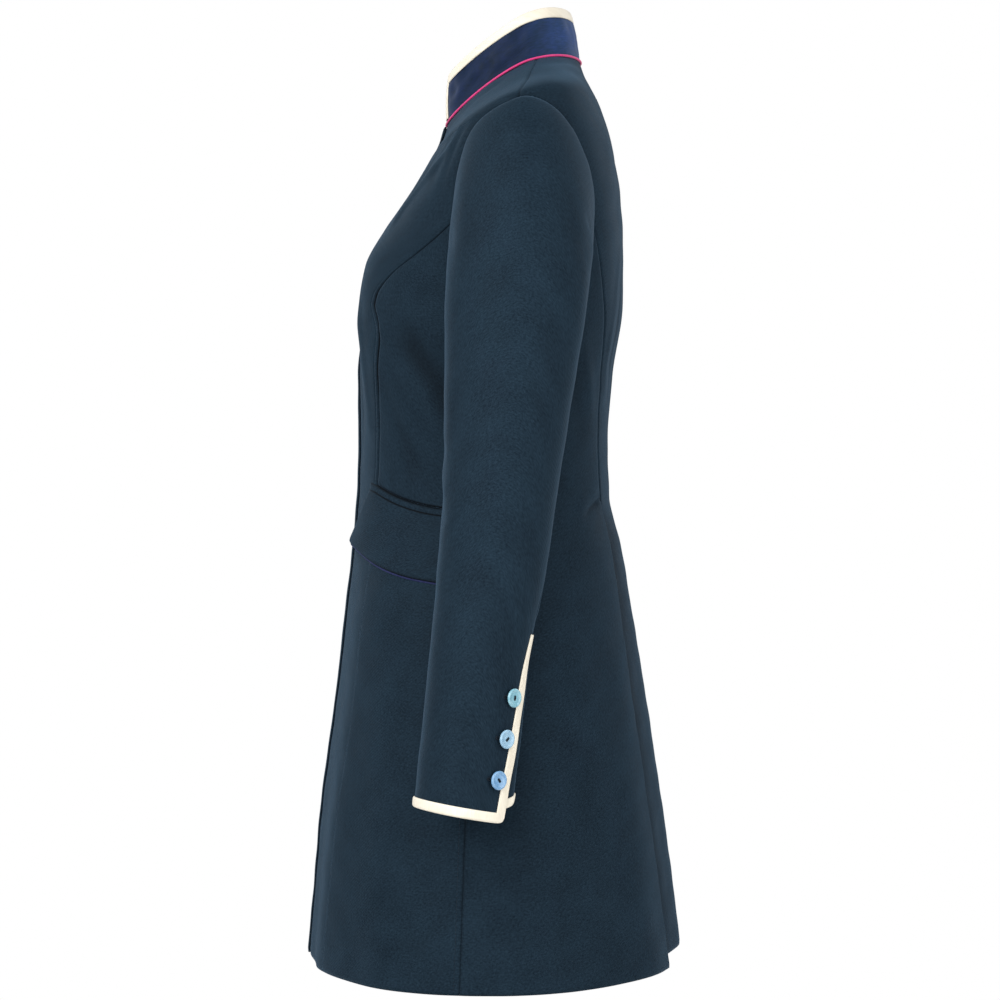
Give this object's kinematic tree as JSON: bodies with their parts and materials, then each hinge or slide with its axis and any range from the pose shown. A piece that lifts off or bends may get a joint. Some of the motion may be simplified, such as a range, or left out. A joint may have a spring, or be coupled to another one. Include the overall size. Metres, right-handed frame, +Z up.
{
  "type": "redingote",
  "caption": "Fitted, flared knee-grazing coat with a bound stand collar, princess seams, slanted flap pockets, back pleats and buttoned cuff vents, held in its worn shape.",
  "frame": {"origin": "Middle of the neck opening, level with the piping cord in the neck seam at the centre back: where the coat is held on a wearer or a form.", "axes": "+Z up the wearer's spine, -Y out of the front, +X to the wearer's left; X = 0 is the centre front and centre back."},
  "size_m": [0.6172, 0.3475, 0.8786],
  "materials": {
    "coat_cloth": "matte",
    "collar_satin": "satin",
    "cream_binding": "satin",
    "magenta_piping": "satin",
    "navy_piping": "satin",
    "button_pearl": "glossy"
  },
  "bodies": {
    "root": {"front_left": "coat_cloth", "front_right": "coat_cloth", "side_front_left": "coat_cloth", "side_front_right": "coat_cloth", "side_back_left": "coat_cloth", "side_back_right": "coat_cloth", "back": "coat_cloth", "collar": "collar_satin", "collar_binding": "cream_binding", "neck_piping": "magenta_piping", "top_sleeve_left": "coat_cloth", "top_sleeve_right": "coat_cloth", "under_sleeve_left": "coat_cloth", "under_sleeve_right": "coat_cloth", "cuff_binding_left": "cream_binding", "cuff_binding_right": "cream_binding", "under_cuff_binding_left": "cream_binding", "under_cuff_binding_right": "cream_binding", "cuff_button_left_1": "button_pearl", "cuff_button_left_2": "button_pearl", "cuff_button_left_3": "button_pearl", "cuff_button_right_1": "button_pearl", "cuff_button_right_2": "button_pearl", "cuff_button_right_3": "button_pearl", "pocket_jet_left": "coat_cloth", "pocket_jet_right": "coat_cloth", "pocket_flap_left": "coat_cloth", "pocket_flap_right": "coat_cloth", "flap_piping_left": "navy_piping", "flap_piping_right": "navy_piping"}
  },
  "joints": []
}
